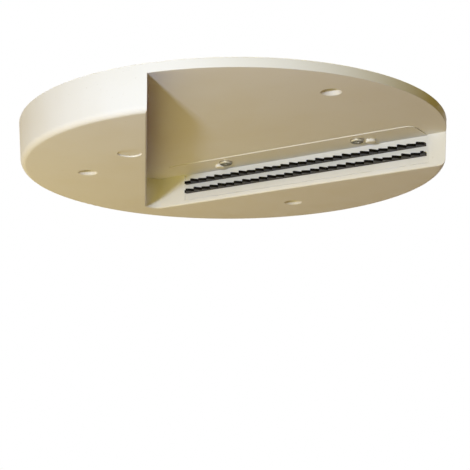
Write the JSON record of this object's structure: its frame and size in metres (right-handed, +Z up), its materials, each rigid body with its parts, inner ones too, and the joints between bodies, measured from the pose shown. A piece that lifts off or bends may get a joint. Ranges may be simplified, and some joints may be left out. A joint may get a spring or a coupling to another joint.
{
  "type": "under-cabinet jar opener",
  "caption": "Round moulded disc for the underside of a cabinet, with a wedge-shaped notch and saw-toothed steel strips along one wall that grip a jar lid.",
  "frame": {"origin": "centre of the round mounting face, which lies against the cabinet", "axes": "+Z up out of the mounting face into the cabinet; the mouth of the wedge notch opens towards -Y; the toothed wall is on the +X side"},
  "size_m": [0.18, 0.18, 0.0183],
  "materials": {
    "body_plastic": "off-white injection-moulded ABS, fine satin",
    "holder_plastic": "off-white moulded nylon, smooth satin",
    "blade_steel": "dark hardened spring steel with blackened teeth",
    "screw_steel": "bright zinc-plated steel"
  },
  "bodies": {
    "root": {"disc_body": "body_plastic", "blade_holder": "holder_plastic", "upper_blade": "blade_steel", "lower_blade": "blade_steel", "holder_screw_mouth": "screw_steel", "holder_screw_apex": "screw_steel"}
  },
  "joints": []
}
